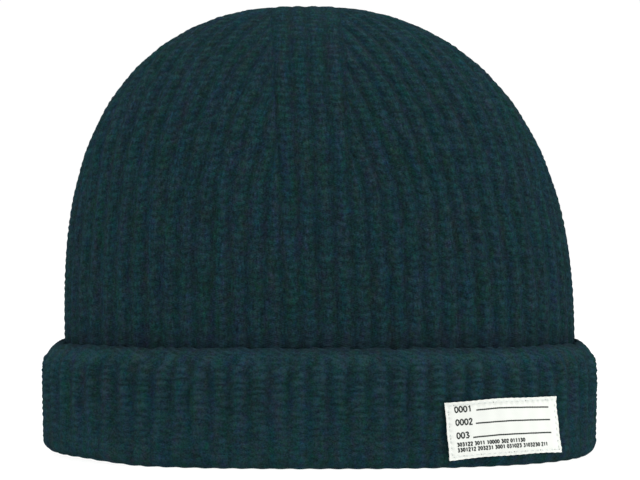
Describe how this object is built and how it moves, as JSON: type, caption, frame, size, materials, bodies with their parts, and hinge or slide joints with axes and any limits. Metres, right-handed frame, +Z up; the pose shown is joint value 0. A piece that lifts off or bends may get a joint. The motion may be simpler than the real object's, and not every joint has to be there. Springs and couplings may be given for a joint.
{
  "type": "rib-knit beanie",
  "caption": "Chunky rib-knit beanie with a rounded crown, a turned-up cuff and a small cloth label on the cuff, standing on its fold.",
  "frame": {"origin": "on the ground under the middle of the cuff, at the middle of the bounding box's underside", "axes": "+Z up through the crown, +X along the cuff's width towards the wearer's left, -Y towards the front"},
  "size_m": [0.21, 0.116, 0.1696],
  "materials": {
    "rib_knit": "matt dark teal-navy wool rib knit with soft fuzz",
    "label_cloth": "matt white plain-woven tape, cut edges, ruled in dark ink"
  },
  "bodies": {
    "root": {"knit_cap": "rib_knit", "label": "label_cloth"}
  },
  "joints": []
}
